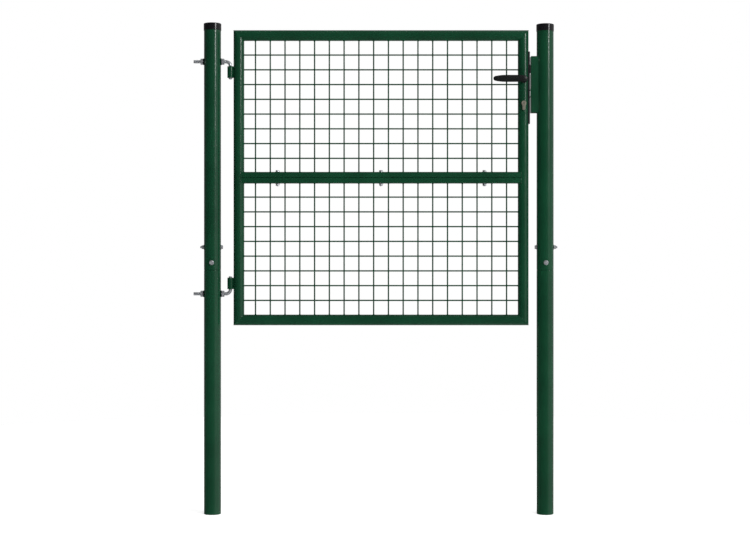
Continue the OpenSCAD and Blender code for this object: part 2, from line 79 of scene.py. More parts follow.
class Facing(Enum):
    """Which way a part that is drawn along +Z is turned to face."""

    UP = (0.0, "X")
    DOWN = (math.pi, "X")
    RIGHT = (math.pi / 2, "Y")
    LEFT = (-math.pi / 2, "Y")
    BACK = (-math.pi / 2, "X")
    FRONT = (math.pi / 2, "X")

    def at(self, place: Vector) -> Matrix:
        """The matrix that turns a part this way and carries its origin to a place."""
        angle, axis = self.value
        return Matrix.Translation(place) @ Matrix.Rotation(angle, 4, axis)

    @staticmethod
    def along(direction: Vector) -> "Facing":
        """The facing whose +Z runs nearest to a direction."""
        return max(Facing, key=lambda f: (f.at(Vector()).to_3x3() @ Vector((0, 0, 1))).dot(direction))


def middle(box: Box) -> Vector:
    """The centre of a box."""
    return (box[0] + box[1]) / 2


def solids(node: str) -> list[Box]:
    """The box of each separate solid of a CAD node.

    Args:
        node: the node's name.

    Returns:
        One (lowest corner, highest corner) for each solid, from left to right and then upwards.
    """
    copy = bmesh.new()
    copy.from_mesh(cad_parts[node].data)
    bmesh.ops.remove_doubles(copy, verts=copy.verts, dist=SAME_POINT)
    found: list[Box] = []
    seen: set[BMVert] = set()
    for start in copy.verts:
        if start in seen:
            continue
        island, edge = [start], [start]
        seen.add(start)
        while edge:
            vert = edge.pop()
            for link in vert.link_edges:
                other = link.other_vert(vert)
                if other not in seen:
                    seen.add(other)
                    island.append(other)
                    edge.append(other)
        low = Vector(min(v.co[i] for v in island) for i in range(3))
        high = Vector(max(v.co[i] for v in island) for i in range(3))
        found.append((low, high))
    copy.free()
    return sorted(found, key=lambda b: (round(b[0].x, 4), round(b[0].z, 4), b[0].y))


# ---- finishes ----


class Tree:
    """A node tree, with shortcuts for adding nodes and joining them."""

    def __init__(self, tree: bpy.types.NodeTree) -> None:
        """Takes up a tree."""
        self.tree = tree

    def add(self, kind: str, **values: object) -> bpy.types.Node:
        """Adds a node.

        Args:
            kind: the node's type.
            values: the constants of its inputs, an underscore in a name standing for a space.

        Returns:
            The new node.
        """
        node = self.tree.nodes.new(kind)
        for key, value in values.items():
            node.inputs[key.replace("_", " ")].default_value = value
        return node

    def join(self, source: Socket, target: Socket) -> None:
        """Links an output to an input."""
        self.tree.links.new(source, target)

    def colours(self, factor: Socket, *stops: tuple[float, Colour]) -> Socket:
        """A colour ramp.

        Args:
            factor: the value that runs along the ramp.
            stops: each stop's place from 0 to 1 and its linear colour.

        Returns:
            The ramp's colour.
        """
        node = self.add("ShaderNodeValToRGB")
        ramp = node.color_ramp.elements
        while len(ramp) < len(stops):
            ramp.new(0.5)
        for element, (place, colour) in zip(ramp, stops):
            element.position = place
            element.color = (*colour, 1.0)
        self.join(factor, node.inputs["Fac"])
        return node.outputs["Color"]


class Net(Tree):
    """The node tree of one material, with a Principled shader and shortcuts to its usual nodes."""

    def __init__(self, name: str) -> None:
        """Starts an empty material.

        Args:
            name: the material's name.
        """
        self.material = bpy.data.materials.new(name)
        self.material.use_nodes = True
        super().__init__(self.material.node_tree)
        self.shader = self.tree.nodes["Principled BSDF"]
        self.place = self.add("ShaderNodeTexCoord").outputs["Object"]

    def set(self, **values: object) -> None:
        """Sets the shader's constants, an underscore in a name standing for a space."""
        for key, value in values.items():
            self.shader.inputs[key.replace("_", " ")].default_value = value

    def noise(self, size: float, detail: float = 2.0, stretch: Triple = (1, 1, 1)) -> Socket:
        """A noise pattern on the object's own coordinates.

        Args:
            size: the size of its grains in metres.
            detail: how many finer layers it has.
            stretch: how much longer the grains are along each axis.

        Returns:
            The pattern's value, from 0 to 1.
        """
        mapping = self.add("ShaderNodeMapping", Scale=[1 / (size * s) for s in stretch])
        pattern = self.add("ShaderNodeTexNoise", Scale=1.0, Detail=detail)
        self.join(self.place, mapping.inputs["Vector"])
        self.join(mapping.outputs["Vector"], pattern.inputs["Vector"])
        return pattern.outputs["Fac"]

    def between(self, factor: Socket, low: float, high: float) -> Socket:
        """Spreads the middle of a pattern's range between two values.

        Args:
            factor: the pattern, most of it between 0.3 and 0.7.
            low: the value at its low end.
            high: the value at its high end.

        Returns:
            The value.
        """
        node = self.add("ShaderNodeMapRange", From_Min=0.3, From_Max=0.7, To_Min=low, To_Max=high)
        self.join(factor, node.inputs["Value"])
        return node.outputs["Result"]

    def bump(self, height: Socket, depth: float,
             under: Socket | None = None) -> Socket:
        """A bump on the surface.

        Args:
            height: the pattern of the bump.
            depth: its height in metres.
            under: the normal of a bump that this one lies on.

        Returns:
            The new normal.
        """
        node = self.add("ShaderNodeBump", Strength=1.0, Distance=depth)
        self.join(height, node.inputs["Height"])
        if under is not None:
            self.join(under, node.inputs["Normal"])
        return node.outputs["Normal"]


@dataclass(frozen=True)
class Finish:
    """A surface finish and the record's material slot that it belongs to."""

    name: str
    slot: str

    def material(self) -> Material:
        """The finish's material, made once."""
        return bpy.data.materials.get(self.name) or self.dress(Net(self.name)).material

    def dress(self, net: Net) -> Net:
        """Builds the node tree on an empty net."""
        raise NotImplementedError


@dataclass(frozen=True)
class PowderCoat(Finish):
    """Glossy polyester powder, baked on: a faint orange peel and a slow drift of colour."""

    deep: Colour
    light: Colour
    roughness: float = 0.15
    drift_size: float = 0.16
    cloud_size: float = 0.035
    peel_size: float = 0.0026
    peel_depth: float = 0.000004

    def dress(self, net: Net) -> Net:
        """Builds the node tree.

        Args:
            net: the empty net of the finish's material.

        Returns:
            The same net.
        """
        drift, cloud = net.noise(self.drift_size, 3.0), net.noise(self.cloud_size, 4.0)
        net.join(net.colours(drift, (0.35, self.deep), (0.65, self.light)), net.shader.inputs["Base Color"])
        net.join(net.between(cloud, self.roughness, self.roughness + 0.06), net.shader.inputs["Roughness"])
        peel = net.bump(net.noise(self.peel_size, 1.0), self.peel_depth)
        grain = net.bump(net.noise(self.peel_size / 6, 1.0), self.peel_depth / 8, peel)
        net.join(grain, net.shader.inputs["Normal"])
        net.set(IOR=1.5)
        return net


@dataclass(frozen=True)
class MouldedPlastic(Finish):
    """Black plastic with the fine grain of its mould."""

    colour: Colour
    roughness: float
    paler: float = 1.5
    shade_size: float = 0.02
    cloud_size: float = 0.006
    grain_size: float = 0.0009
    grain_depth: float = 0.000012

    def dress(self, net: Net) -> Net:
        """Builds the node tree.

        Args:
            net: the empty net of the finish's material.

        Returns:
            The same net.
        """
        pale = tuple(self.paler * c for c in self.colour)
        shade, cloud = net.noise(self.shade_size, 3.0), net.noise(self.cloud_size, 3.0)
        net.join(net.colours(shade, (0.3, self.colour), (0.75, pale)), net.shader.inputs["Base Color"])
        net.join(net.between(cloud, self.roughness, self.roughness + 0.07), net.shader.inputs["Roughness"])
        net.join(net.bump(net.noise(self.grain_size, 2.0), self.grain_depth), net.shader.inputs["Normal"])
        net.set(IOR=1.46)
        return net


@dataclass(frozen=True)
class PlatedSteel(Finish):
    """Plated or passivated steel: a cloudy sheen with fine tool marks."""

    dark: Colour
    bright: Colour
    roughness: float
    cloud_size: float = 0.004
    mark_size: float = 0.0004
    mark_depth: float = 0.000003
    marks_along: Triple = (1, 1, 1)
    metal: float = 1.0

    def dress(self, net: Net) -> Net:
        """Builds the node tree.

        Args:
            net: the empty net of the finish's material.

        Returns:
            The same net.
        """
        cloud = net.noise(self.cloud_size, 4.0)
        net.join(net.colours(cloud, (0.3, self.dark), (0.7, self.bright)), net.shader.inputs["Base Color"])
        net.join(net.between(net.noise(self.cloud_size / 3, 3.0), self.roughness, self.roughness + 0.16),
                 net.shader.inputs["Roughness"])
        net.join(net.bump(net.noise(self.mark_size, 3.0, self.marks_along), self.mark_depth),
                 net.shader.inputs["Normal"])
        net.set(Metallic=self.metal)
        return net


GREEN = PowderCoat("moss_green_powder", "green_coat", deep=(0.0024, 0.040, 0.0165),
                   light=(0.0036, 0.052, 0.0215))
CAP_BLACK = MouldedPlastic("cap_black", "cap_plastic", colour=(0.0045, 0.0045, 0.0055), roughness=0.11,
                           grain_depth=0.000003)
LEVER_BLACK = MouldedPlastic("lever_black", "lever_plastic", colour=(0.0040, 0.0048, 0.0048),
                             roughness=0.3, grain_depth=0.000006)
FOREND_BLACK = PowderCoat("forend_black", "black_coat", deep=(0.006, 0.006, 0.0075),
                          light=(0.009, 0.009, 0.011), roughness=0.3, peel_size=0.0012,
                          peel_depth=0.000006)
ZINC = PlatedSteel("bright_zinc", "zinc_plate", dark=(0.40, 0.42, 0.46), bright=(0.82, 0.84, 0.86),
                   roughness=0.20, metal=0.75)
DARK_ZINC = PlatedSteel("dark_washer_steel", "dark_washer", dark=(0.020, 0.021, 0.030),
                        bright=(0.045, 0.047, 0.060), roughness=0.34)
LOCK_STEEL = PlatedSteel("lock_steel", "lock_steel", dark=(0.34, 0.35, 0.35), bright=(0.52, 0.53, 0.53),
                         roughness=0.30, cloud_size=0.006, mark_size=0.0003, mark_depth=0.000004,
                         marks_along=(8, 1, 1))
BRASS = PlatedSteel("cylinder_brass", "cylinder_brass", dark=(0.52, 0.38, 0.17), bright=(0.72, 0.56, 0.28),
                    roughness=0.22, cloud_size=0.005, mark_size=0.00025, marks_along=(1, 1, 10))
FINISHES: dict[str, Finish] = {
    f.slot: f for f in (GREEN, CAP_BLACK, LEVER_BLACK, FOREND_BLACK, ZINC, DARK_ZINC, LOCK_STEEL, BRASS)}


# ---- shapes ----


class Shape:
    """A mesh in the making: bmesh operators build it up, in metres."""

    def __init__(self) -> None:
        """Starts with nothing."""
        self.bm = bmesh.new()

    def line(self, points: list[tuple[float, float, float]], closed: bool = False) -> list:
        """Joins a few vertices by edges.

        Args:
            points: the vertices in order.
            closed: whether the last joins the first.

        Returns:
            The new vertices and edges.
        """
        verts = [self.bm.verts.new(p) for p in points]
        pairs = list(zip(verts, verts[1:])) + ([(verts[-1], verts[0])] if closed else [])
        return verts + [self.bm.edges.new(pair) for pair in pairs]

    def turn(self, profile: list[tuple[float, float]], closed: bool = True, steps: int = 64) -> "Shape":
        """Turns a profile of radius and height about Z.

        Args:
            profile: (radius, height) of each corner.
            closed: whether the profile is a ring, as in a tube, or runs from the axis to the axis.
            steps: how many steps make the full turn.

        Returns:
            This shape.
        """
        start = self.line([(r, 0.0, h) for r, h in profile], closed)
        bmesh.ops.spin(self.bm, geom=start, cent=(0, 0, 0), axis=(0, 0, 1), dvec=(0, 0, 0),
                       angle=FULL_TURN, steps=steps, use_merge=True, use_duplicate=False)
        return self.merged()

    def merged(self) -> "Shape":
        """Joins vertices that lie in one place, and turns every face outwards.

        Returns:
            This shape.
        """
        bmesh.ops.remove_doubles(self.bm, verts=self.bm.verts, dist=SAME_POINT)
        bmesh.ops.recalc_face_normals(self.bm, faces=self.bm.faces)
        return self

    def soften(self, width: float, angle: float = 35.0, segments: int = 3,
               where: Callable[[BMEdge], bool] | None = None) -> "Shape":
        """Rounds the edges that are sharper than an angle.

        Args:
            width: how far the rounding reaches from each edge.
            angle: the least angle between two faces, in degrees.
            segments: the steps of the rounding.
            where: which of those edges are rounded, all of them if not given.

        Returns:
            This shape.
        """
        edges = [e for e in self.bm.edges if len(e.link_faces) == 2
                 and e.calc_face_angle(0.0) > math.radians(angle) and (where is None or where(e))]
        bmesh.ops.bevel(self.bm, geom=edges, offset=width, offset_type="OFFSET", affect="EDGES",
                        segments=segments, profile=0.5, material=-1, clamp_overlap=True)
        return self

    def cut(self, point: Vector, normal: Vector) -> "Shape":
        """Cuts away all that lies beyond a plane, and closes the cut.

        Args:
            point: a point of the plane.
            normal: its normal, towards what is cut away.

        Returns:
            This shape.
        """
        bm = self.bm
        result = bmesh.ops.bisect_plane(bm, geom=bm.verts[:] + bm.edges[:] + bm.faces[:], dist=1e-7,
                                        plane_co=point, plane_no=normal, clear_outer=True)
        rim = [e for e in result["geom_cut"] if isinstance(e, BMEdge)]
        if rim:
            bmesh.ops.holes_fill(bm, edges=rim)
        return self

    def stamp(self, other: "Shape", *places: Matrix) -> "Shape":
        """Adds a copy of another shape at each place.

        Args:
            other: the shape that is copied.
            places: the matrix that carries each copy to its place.

        Returns:
            This shape.
        """
        mesh = bpy.data.meshes.new("stamp")
        for place in places:
            other.bm.to_mesh(mesh)
            mesh.transform(place)
            self.bm.from_mesh(mesh)
        bpy.data.meshes.remove(mesh)
        return self

    def piece(self, name: str, finish: Finish, body: str, *stands_for: str, crease: float = 32.0,
              ) -> bpy.types.Object:
        """Finishes the shape as an object that rides on a CAD body.

        Args:
            name: the piece's name.
            finish: its finish.
            body: the body that it moves with.
            stands_for: the CAD nodes that it replaces.
            crease: the least angle of an edge that stays sharp, in degrees.

        Returns:
            The new object.
        """
        self.bm.normal_update()
        mesh = bpy.data.meshes.new(name)
        self.bm.to_mesh(mesh)
        self.bm.free()
        mesh.shade_smooth()
        mesh.set_sharp_from_angle(angle=math.radians(crease))
        mesh.materials.append(finish.material())
        made = bpy.data.objects.new(name, mesh)
        bpy.context.scene.collection.objects.link(made)
        made.modifiers.new("broad faces lead", "WEIGHTED_NORMAL").keep_sharp = True
        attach(made, body)
        if stands_for:
            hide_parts(*stands_for)
        log.info("%s: %d faces", name, len(mesh.polygons))
        return made


def copy_of(node: str) -> Shape:
    """A merged copy of a CAD node's mesh, its flat faces made whole.

    Args:
        node: the node's name.

    Returns:
        The copy.
    """
    shape = Shape()
    shape.bm.from_mesh(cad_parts[node].data)
    bmesh.ops.remove_doubles(shape.bm, verts=shape.bm.verts, dist=SAME_POINT)
    bmesh.ops.dissolve_limit(shape.bm, angle_limit=math.radians(1.0), use_dissolve_boundaries=False,
                             verts=shape.bm.verts, edges=shape.bm.edges)
    return shape


def ring_edges(ring: list[BMVert]) -> list[BMEdge]:
    """The edges that join a ring's own vertices, each once and always in the same order."""
    near = dict.fromkeys(e for v in ring for e in v.link_edges)
    return [e for e in near if all(v in ring for v in e.verts)]


def new_verts(geom: list) -> list[BMVert]:
    """The vertices among what an operator made."""
    return [g for g in geom if isinstance(g, BMVert)]


def quarter_round(t: float) -> float:
    """The height of a quarter circle, from 0 at t = 0 to 1 at t = 1 and past it."""
    return math.sqrt(max(0.0, 1 - (1 - min(1.0, t)) ** 2))


def drop(radius: float, flat: float = 1.0) -> Shape:
    """A drop of weld metal, of a few dozen faces.

    Args:
        radius: its radius.
        flat: its height along Z as a share of its width.

    Returns:
        The drop, about the origin.
    """
    shape = Shape()
    bmesh.ops.create_uvsphere(shape.bm, u_segments=8, v_segments=6, radius=radius)
    bmesh.ops.scale(shape.bm, vec=(1, 1, flat), verts=shape.bm.verts)
    return shape


def bead(shape: Shape, path: Callable[[float], Vector], length: float, radius: float,
         pitch: float = 0.9) -> None:
    """Lays a weld bead as a row of overlapping drops.

    Args:
        shape: the shape that takes the bead.
        path: the bead's centre line, from 0 to 1.
        length: how long it is.
        radius: the radius of a drop.
        pitch: the distance between drops as a share of their radius.
    """
    count = max(2, round(length / (radius * pitch)))
    shape.stamp(drop(radius), *[Matrix.Translation(path(i / count)) for i in range(count + 1)])


# ---- fasteners ----


@dataclass(frozen=True)
class Thread:
    """One metric size of bolt, nut and washer."""

    radius: float
    pitch: float
    across_flats: float
    head_height: float
    nut_height: float
    washer_radius: float
    washer_height: float
    depth_share: float = 0.6
    crown: float = 0.95
    mouth_rim: float = 0.12
    mouth_step: float = 0.14
    dish_rim: float = 0.13
    dish: Pairs = ((0.0004, -0.0003),)
    chamfer_cuts: int = 24
    turn_steps: int = 20

    @property
    def root(self) -> float:
        """The radius at the bottom of the thread."""
        return self.radius - self.depth_share * self.pitch

    @property
    def face(self) -> float:
        """The radius of the round flat at the end of a hexagon."""
        return self.crown * self.across_flats / 2

    def rod(self, length: float) -> Shape:
        """A threaded rod along +Z with a rounded-off end.

        Args:
            length: its length.

        Returns:
            The rod, from z = 0.
        """
        turn, shape, p = Shape(), Shape(), self.pitch
        start = turn.line([(self.root, 0, -p), (self.root, 0, -0.875 * p), (self.radius, 0, -0.56 * p),
                           (self.radius, 0, -0.44 * p), (self.root, 0, -0.125 * p), (self.root, 0, 0)])
        bmesh.ops.spin(turn.bm, geom=start, cent=(0, 0, 0), axis=(0, 0, 1), angle=FULL_TURN,
                       dvec=(0, 0, p / self.turn_steps), steps=self.turn_steps, use_duplicate=False)
        shape.stamp(turn, *[Matrix.Translation((0, 0, i * p)) for i in range(math.ceil(length / p) + 2)])
        bmesh.ops.remove_doubles(shape.bm, verts=shape.bm.verts, dist=SAME_POINT)
        shape.cut(Vector((0, 0, 0)), Vector((0, 0, -1)))
        shape.cut(Vector((0, 0, length)), Vector((0, 0, 1)))
        for vert in shape.bm.verts:
            room = self.root + 0.3 * p + (length - vert.co.z)
            reach = math.hypot(vert.co.x, vert.co.y)
            if reach > room:
                vert.co.xy = vert.co.xy * (room / reach)
        return shape.merged()

    def hexagon(self, height: float, both_ends: bool) -> Shape:
        """A hexagon along +Z whose corners are turned off.

        Args:
            height: its height from z = 0.
            both_ends: whether its lower end is turned off too.

        Returns:
            The hexagon.
        """
        shape = Shape()
        corner = self.across_flats / 2 / math.cos(math.pi / 6)
        bmesh.ops.create_cone(shape.bm, cap_ends=True, segments=6, radius1=corner, radius2=corner,
                              depth=height, matrix=Matrix.Translation((0, 0, height / 2)))
        for end, z in ((1, height), (-1, 0.0)) if both_ends else ((1, height),):
            for i in range(self.chamfer_cuts):
                round_z = Matrix.Rotation(FULL_TURN * (i + 0.5) / self.chamfer_cuts, 3, "Z")
                tilt = Vector((0.5, 0, end * math.cos(math.pi / 6)))
                shape.cut(round_z @ Vector((self.face, 0, z)), round_z @ tilt)
        return shape

    def sink(self, shape: Shape, z: float, inset: float, deeper: Pairs) -> None:
        """Sinks the flat end of a hexagon in steps.

        Args:
            shape: the hexagon.
            z: the height of its flat end.
            inset: how far in from the rim the first step lies.
            deeper: the width and depth of each further step.
        """
        end = [f for f in shape.bm.faces if abs(f.calc_center_median().z - z) < 1e-5 and len(f.verts) > 8]
        for width, depth in ((inset, 0.0), *deeper):
            bmesh.ops.inset_region(shape.bm, faces=end, thickness=width, depth=depth, use_even_offset=True)

    def nut(self) -> Shape:
        """A nut with the mouth of its thread sunk at both ends.

        Returns:
            The nut, from z = 0 up.
        """
        shape, step = self.hexagon(self.nut_height, both_ends=True), self.radius * self.mouth_step
        for z in (0.0, self.nut_height):
            self.sink(shape, z, self.face - self.radius * (1 + self.mouth_rim), ((step, -step),))
        return shape

    def head(self) -> Shape:
        """A bolt's head with the shallow dish of its forging.

        Returns:
            The head, from z = 0 up.
        """
        shape = self.hexagon(self.head_height, both_ends=False)
        self.sink(shape, self.head_height, self.across_flats * self.dish_rim, self.dish)
        return shape

    def washer(self) -> Shape:
        """A stamped washer.

        Returns:
            The washer, from z = 0 up.
        """
        bore = self.radius + 0.2 * MM
        shape = Shape().turn([(bore, 0), (self.washer_radius, 0), (self.washer_radius, self.washer_height),
                              (bore, self.washer_height)], steps=48)
        return shape.soften(0.25 * self.washer_height, segments=2)


M8 = Thread(radius=0.004, pitch=0.00125, across_flats=0.013, head_height=0.0053, nut_height=0.0065,
            washer_radius=0.0085, washer_height=0.0016)
M12 = Thread(radius=0.006, pitch=0.00175, across_flats=0.019, head_height=0.0075, nut_height=0.010,
             washer_radius=0.012, washer_height=0.0025)


@dataclass
class BoltSet:
    """Bolts with their washers and nuts, each on the place of its CAD solid."""

    bolts: str
    washers: str
    nuts: str
    body: str
    size: Thread = M8
    finish: Finish = ZINC

    def build(self) -> None:
        """Builds the three pieces."""
        nut_boxes = solids(self.nuts)
        rods, nuts, washers = Shape(), Shape(), Shape()
        for box in solids(self.bolts):
            span, centre = box[1] - box[0], middle(box)
            way = Vector((0, 0, 0))
            longest = max(range(3), key=lambda i: span[i])
            own = min(nut_boxes, key=lambda b: (middle(b) - centre).length)
            way[longest] = math.copysign(1.0, (middle(own) - centre)[longest])
            facing, length = Facing.along(way), span[longest]
            foot = centre - way * (length / 2 - self.size.head_height)
            rods.stamp(self.size.rod(length - self.size.head_height), facing.at(foot))
            rods.stamp(self.size.head(), Facing.along(-way).at(foot))
            nuts.stamp(self.size.nut(), facing.at(middle(own) - way * self.size.nut_height / 2))
        for box in solids(self.washers):
            span = box[1] - box[0]
            thin = min(range(3), key=lambda i: span[i])
            way = Vector([1.0 if i == thin else 0.0 for i in range(3)])
            washers.stamp(self.size.washer(), Facing.along(way).at(middle(box) - way * span[thin] / 2))
        rods.piece(f"threaded_{self.bolts}", self.finish, self.body, self.bolts, crease=28)
        nuts.piece(f"chamfered_{self.nuts}", self.finish, self.body, self.nuts, crease=28)
        washers.piece(f"stamped_{self.washers}", self.finish, self.body, self.washers)


# ---- posts ----


@dataclass
class Post:
    """One round post: a lower half with a drawn-in neck, an upper half over it, and a cap."""

    name: str
    wall: float = 0.002
    taper: float = 0.0012
    play: float = 0.0002
    rim: float = 0.0006
    steps: int = 96
    cap_wall: float = 0.0011
    cap_rim: float = 0.0022
    cap_lip: float = 0.0005
    cap_dome: float = 0.0014
    cap_top: float = 0.006
    dome: Pairs = ((0.0, 0.0), (0.45, 0.22), (0.8, 0.66), (1.0, 1.0))

    def build(self) -> None:
        """Builds both halves and the cap."""
        self.lower()
        self.upper()
        self.cap()

    def put(self, shape: Shape, node: str, finish: Finish, label: str) -> None:
        """Carries a shape to the post's axis and makes it the piece for a node.

        Args:
            shape: the shape, on the Z axis.
            node: the CAD node that it replaces.
            finish: its finish.
            label: the piece's name.
        """
        centre = middle(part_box(node))
        bmesh.ops.translate(shape.bm, vec=(centre.x, centre.y, 0), verts=shape.bm.verts)
        shape.piece(label, finish, "posts", node)

    def lower(self) -> None:
        """The lower half, with the neck that enters the upper half."""
        node = f"{self.name}_lower"
        low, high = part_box(node)
        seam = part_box(f"{self.name}_upper")[0].z
        r = (high.x - low.x) / 2
        neck, inner = r - self.wall - self.play, r - self.wall
        shape = Shape().turn([(r, low.z), (r, seam - self.taper), (neck, seam), (neck, high.z),
                              (neck - self.wall, high.z), (neck - self.wall, seam),
                              (inner, seam - self.taper), (inner, low.z)], steps=self.steps)
        self.put(shape.soften(self.rim, 20, 3), node, GREEN, f"drawn_{node}")

    def upper(self) -> None:
        """The upper half."""
        node = f"{self.name}_upper"
        low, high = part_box(node)
        r = (high.x - low.x) / 2
        shape = Shape().turn([(r, low.z), (r, high.z), (r - self.wall, high.z), (r - self.wall, low.z)],
                             steps=self.steps)
        self.put(shape.soften(self.rim, 20, 3), node, GREEN, f"coated_{node}")

    def cap(self) -> None:
        """The cap, a thin shell with a domed top."""
        node = f"{self.name}_cap"
        low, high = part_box(node)
        r = (high.x - low.x) / 2
        inner, ceiling = r - self.cap_wall, high.z - self.cap_top
        edge = high.z - self.cap_dome
        top = [(share * r, high.z - fall * self.cap_dome) for share, fall in self.dome]
        shape = Shape().turn(top + [(r, low.z), (inner, low.z), (inner, ceiling), (0, ceiling)],
                             closed=False, steps=self.steps)
        shape.soften(self.cap_rim, 60, 8, lambda e: all(v.co.z > edge - 1e-4 for v in e.verts))
        shape.soften(self.cap_lip, 60, 2, lambda e: all(v.co.z < low.z + 1e-4 for v in e.verts))
        self.put(shape, node, CAP_BLACK, f"moulded_{node}")


# ---- hinges ----


@dataclass
class HookHinges:
    """The two threaded hook bolts with their washers and nuts, and the bushes on the leaf."""

    bend: float = 0.016
    thread_stop: float = 0.002
    shank_start: float = 0.003
    shank_slack: float = 0.00002
    tip_round: float = 0.0018
    bore_slack: float = 0.00005
    bush_lip: float = 0.0012
    weld_radius: float = 0.0031
    weld_out: float = 0.0034
    weld_sunk: float = 0.0004
    weld_short: float = 0.0035
    weld_pitch: float = 0.55
    stile_node: str = "upper_hinge_stile"

    def build(self) -> None:
        """Builds every piece of both hinges."""
        for node, way in (("upper_hinge_hook", -1), ("lower_hinge_hook", 1)):
            self.hook(node, way)
        for node in ("upper_hinge_bush", "lower_hinge_bush"):
            self.bush(node)
        for node, template, finish in (("hinge_nuts", M12.nut(), ZINC),
                                       ("hinge_washers", M12.washer(), DARK_ZINC)):
            shape = Shape()
            for box in solids(node):
                foot = Vector((box[0].x, middle(box).y, middle(box).z))
                shape.stamp(template, Facing.RIGHT.at(foot) @ Matrix.Rotation(math.pi / 6, 4, "Z"))
            shape.piece(f"turned_{node}", finish, "posts", node, crease=28)

    def hook(self, node: str, way: int) -> None:
        """One hook bolt: a threaded tail, a bend and a smooth pin.

        Args:
            node: the CAD node.
            way: 1 if its pin points up, -1 if it points down.
        """
        low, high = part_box(node)
        axis_z = high.z - M12.radius if way < 0 else low.z + M12.radius
        pin_x, pin_end = high.x - M12.radius, low.z if way < 0 else high.z
        run = pin_x - self.bend
        stop, start = run - self.thread_stop, run - self.shank_start
        shape = Shape().stamp(M12.rod(stop - low.x), Facing.LEFT.at(Vector((stop, 0, axis_z))))
        plain = Shape()
        ring = bmesh.ops.create_circle(
            plain.bm, segments=28, radius=M12.radius - self.shank_slack, cap_ends=True,
            matrix=Facing.RIGHT.at(Vector((start, 0, axis_z))))["verts"]
        pin = Vector((0, 0, pin_end - axis_z - way * self.bend))
        for step in (Vector((self.shank_start, 0, 0)), None, pin):
            if step is None:
                made = bmesh.ops.spin(plain.bm, geom=ring + ring_edges(ring),
                                      cent=(run, 0, axis_z + way * self.bend), axis=(0, -way, 0),
                                      angle=math.pi / 2, steps=14, use_duplicate=False)
                ring = new_verts(made["geom_last"])
            else:
                made = bmesh.ops.extrude_edge_only(plain.bm, edges=ring_edges(ring))
                ring = new_verts(made["geom"])
                bmesh.ops.translate(plain.bm, vec=step, verts=ring)
        bmesh.ops.contextual_create(plain.bm, geom=ring_edges(ring))
        plain.merged().soften(self.tip_round, 60, 3)
        shape.stamp(plain, Matrix.Identity(4)).piece(f"threaded_{node}", ZINC, "posts", node)

    def bush(self, node: str) -> None:
        """One bush with the two weld beads that hold it to the stile.

        Args:
            node: the CAD node.
        """
        low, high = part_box(node)
        radius, bore = (high.y - low.y) / 2, M12.radius + self.bore_slack
        axis = Vector((low.x + radius, 0, 0))
        shape = Shape().turn([(bore, low.z), (radius, low.z), (radius, high.z), (bore, high.z)], steps=48)
        shape.soften(self.bush_lip, segments=3)
        bmesh.ops.translate(shape.bm, vec=axis, verts=shape.bm.verts)
        shape.bm.normal_update()
        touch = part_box(self.stile_node)[0].x + self.weld_sunk
        bottom, length = low.z + self.weld_short, high.z - low.z - 2 * self.weld_short
        for side in (-1, 1):
            bead(shape, lambda t, s=side: Vector((touch, s * self.weld_out, bottom + t * length)), length,
                 self.weld_radius, self.weld_pitch)
        shape.piece(f"welded_{node}", GREEN, "leaf", node)


# ---- leaf ----


